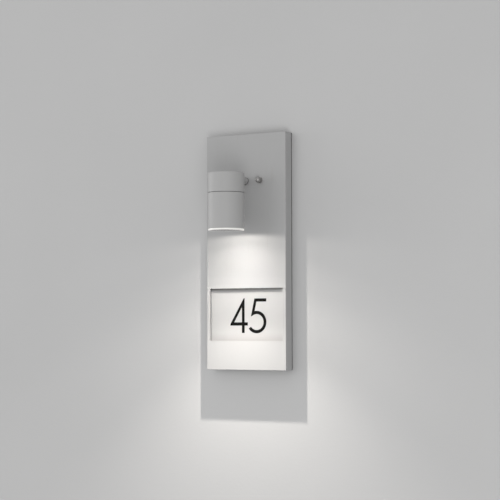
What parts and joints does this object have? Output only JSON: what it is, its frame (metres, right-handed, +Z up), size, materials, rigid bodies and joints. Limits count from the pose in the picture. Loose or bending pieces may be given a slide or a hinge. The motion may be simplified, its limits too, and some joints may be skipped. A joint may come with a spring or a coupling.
{
  "type": "wall light",
  "caption": "Outdoor wall light with a house number: tall flat metal housing with a lit number window, and a cylindrical downlight spot on a short arm.",
  "frame": {"origin": "on the wall plane, at the middle of the housing's height and width", "axes": "+Z up along the housing, +Y into the wall, +X to the right as seen from the front"},
  "size_m": [0.14, 0.1045, 0.36],
  "materials": {
    "housing_paint": "fine silver-grey powder coat, satin",
    "spot_paint": "fine silver-grey powder coat, satin",
    "stainless": "bright stainless steel, turned",
    "zinc_steel": "bright zinc plating",
    "opal_acrylic": "satin opal white",
    "black_rubber": "matt moulded rubber",
    "grey_foam": "closed-cell foam, matt",
    "clear_glass": "clear moulded glass, polished",
    "silicone": "translucent white silicone, matt",
    "ceramic": "white steatite, half matt",
    "brass": "bright turned brass",
    "polyamide": "natural polyamide, matt",
    "lamp_white": "white moulded plastic over aluminium",
    "lamp_diffuser": "frosted diffuser, lit",
    "lead_insulation": "silicone wire insulation, matt",
    "numeral_film": "black adhesive film, satin"
  },
  "bodies": {
    "wall_mount": {"wall_plate": "zinc_steel", "cable_grommet": "black_rubber", "terminal_block": "polyamide", "terminal_screws": "brass", "block_screws": "zinc_steel", "earth_washer": "zinc_steel", "earth_screw": "brass", "mounting_studs": "stainless", "stud_lock_nuts": "stainless"},
    "cover": {"housing": "housing_paint", "wall_gasket": "grey_foam", "number_plate": "opal_acrylic", "plate_seal": "grey_foam", "plate_clips": "zinc_steel", "clip_screws": "zinc_steel", "nut_washers": "stainless", "arm": "spot_paint", "arm_seal": "black_rubber", "arm_lock_washer": "zinc_steel", "arm_nut": "zinc_steel", "arm_grub_screw": "zinc_steel", "spot_cap": "spot_paint", "sleeve_seal": "black_rubber", "lamp_holder": "ceramic", "holder_screws": "zinc_steel", "lamp_leads": "lead_insulation"},
    "sleeve": {"sleeve": "spot_paint", "glass_gasket": "silicone", "front_glass": "clear_glass", "retaining_ring": "stainless"},
    "lamp": {"lamp_shell": "lamp_white", "lamp_lens": "lamp_diffuser", "lamp_pins": "stainless"},
    "cap_nut_left": {"cap_nut_left": "stainless"},
    "cap_nut_right": {"cap_nut_right": "stainless"}
  },
  "joints": [
    {"name": "cover_slide", "type": "slide", "parent": "wall_mount", "child": "cover", "axis": [0, -1, 0], "range_m": [0, 0.03]},
    {"name": "sleeve_slide", "type": "slide", "parent": "cover", "child": "sleeve", "axis": [0, 0, -1], "range_m": [0, 0.06]},
    {"name": "lamp_turn", "type": "hinge", "parent": "cover", "child": "lamp", "pos_m": [0, -0.077, 0.09], "axis": [0, 0, -1], "range_deg": [0, 45]},
    {"name": "cap_nut_left_turn", "type": "hinge", "parent": "cover", "child": "cap_nut_left", "pos_m": [-0.025, -0.0212, 0.1085], "axis": [0, -1, 0], "continuous": true},
    {"name": "cap_nut_right_turn", "type": "hinge", "parent": "cover", "child": "cap_nut_right", "pos_m": [0.025, -0.0212, 0.1085], "axis": [0, -1, 0], "continuous": true}
  ]
}
